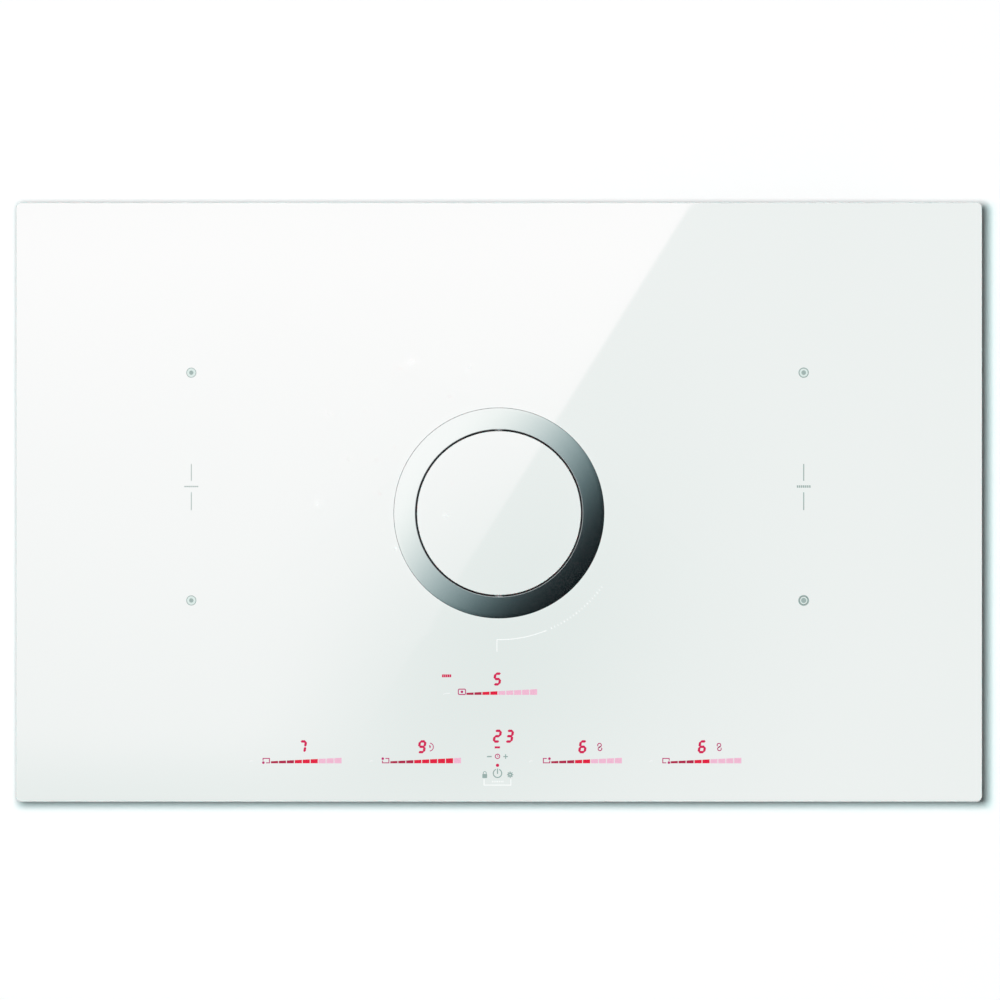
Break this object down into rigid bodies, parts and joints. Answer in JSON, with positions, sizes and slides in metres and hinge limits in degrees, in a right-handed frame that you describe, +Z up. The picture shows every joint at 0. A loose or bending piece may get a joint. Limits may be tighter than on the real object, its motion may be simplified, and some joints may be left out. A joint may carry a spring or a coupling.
{
  "type": "downdraft induction cooktop",
  "caption": "Flush glass induction hob with touch sliders and a central steel intake ring, tilting glass flap, lift-out filter, fan and rear duct spigot.",
  "frame": {"origin": "middle of the overall box at the flat underside of the air box and the fan housing", "axes": "+X to the cook's right, +Y to the back where the duct leaves, +Z up out of the cooking surface"},
  "size_m": [0.83, 0.515, 0.2153],
  "materials": {
    "glass_ceramic": "gloss white back-printed glass ceramic",
    "ring_steel": "fine satin, turned",
    "stainless": "satin",
    "zinc_sheet": "galvanised sheet",
    "aluminium": "mill finish",
    "black_plastic": "fine grain",
    "grey_plastic": "matt",
    "pale_plastic": "matt",
    "foam": "closed-cell foam",
    "silicone": "matt",
    "copper": "enamelled winding wire",
    "circuit_board": "solder mask"
  },
  "bodies": {
    "chassis": {"glass_top": "glass_ceramic", "edge_seal": "foam", "casing_tray": "zinc_sheet", "intake_well": "black_plastic", "air_box_base": "black_plastic", "air_box_cover": "black_plastic", "scroll_base": "black_plastic", "scroll_cover": "black_plastic", "motor_stator": "zinc_sheet", "outlet_collar": "black_plastic", "touch_board_holder": "black_plastic", "touch_board": "circuit_board", "terminal_box": "black_plastic", "terminal_cover": "grey_plastic", "terminal_block": "pale_plastic", "cable_gland": "black_plastic", "fixing_clip_left_rear": "stainless", "coil_left_rear": "copper", "coil_former_left_rear": "grey_plastic", "coil_sensor_left_rear": "pale_plastic", "fixing_clip_left_front": "stainless", "coil_left_front": "copper", "coil_former_left_front": "grey_plastic", "coil_sensor_left_front": "pale_plastic", "fixing_clip_right_rear": "stainless", "coil_right_rear": "copper", "coil_former_right_rear": "grey_plastic", "coil_sensor_right_rear": "pale_plastic", "fixing_clip_right_front": "stainless", "coil_right_front": "copper", "coil_former_right_front": "grey_plastic", "coil_sensor_right_front": "pale_plastic", "coil_plate_left": "aluminium", "power_board_left": "circuit_board", "heat_sink_left": "aluminium", "cooling_fan_frame_left": "black_plastic", "coil_plate_right": "aluminium", "power_board_right": "circuit_board", "heat_sink_right": "aluminium", "cooling_fan_frame_right": "black_plastic"},
    "filter_cartridge": {"filter_basket": "stainless", "filter_rim": "stainless", "filter_drip_cup": "stainless", "filter_handle": "stainless"},
    "intake_ring": {"trim_ring": "ring_steel", "ring_gasket": "silicone", "flap_frame": "black_plastic", "pivot_bush_rear": "pale_plastic", "pivot_bush_front": "pale_plastic"},
    "flap": {"flap_glass": "glass_ceramic", "flap_plate": "black_plastic", "flap_pin_rear": "stainless", "flap_pin_front": "stainless"},
    "impeller_rotor": {"impeller": "grey_plastic", "motor_shaft": "stainless"},
    "cooling_rotor_left": {"cooling_fan_rotor_left": "black_plastic"},
    "cooling_rotor_right": {"cooling_fan_rotor_right": "black_plastic"},
    "drain_closure": {"drain_cap": "grey_plastic", "drain_seal": "foam"}
  },
  "joints": [
    {"name": "filter_lift", "type": "slide", "parent": "chassis", "child": "filter_cartridge", "axis": [0, 0, 1], "range_m": [0, 0.17]},
    {"name": "ring_lift", "type": "slide", "parent": "filter_cartridge", "child": "intake_ring", "axis": [0, 0, 1], "range_m": [0, 0.06]},
    {"name": "flap_tilt", "type": "hinge", "parent": "intake_ring", "child": "flap", "pos_m": [0, -0.0095, 0.2057], "axis": [0, 1, 0], "range_deg": [0, 60]},
    {"name": "impeller_spin", "type": "hinge", "parent": "chassis", "child": "impeller_rotor", "pos_m": [0.21499, -0.02, 0.044], "axis": [0, 0, 1], "continuous": true},
    {"name": "cooling_fan_left_spin", "type": "hinge", "parent": "chassis", "child": "cooling_rotor_left", "pos_m": [-0.3, 0.165, 0.162], "axis": [0, 0, 1], "continuous": true},
    {"name": "cooling_fan_right_spin", "type": "hinge", "parent": "chassis", "child": "cooling_rotor_right", "pos_m": [0.3, 0.165, 0.162], "axis": [0, 0, 1], "continuous": true},
    {"name": "drain_cap_turn", "type": "hinge", "parent": "chassis", "child": "drain_closure", "pos_m": [0, -0.105, 0.008], "axis": [0, 0, 1], "range_deg": [0, 90]}
  ]
}
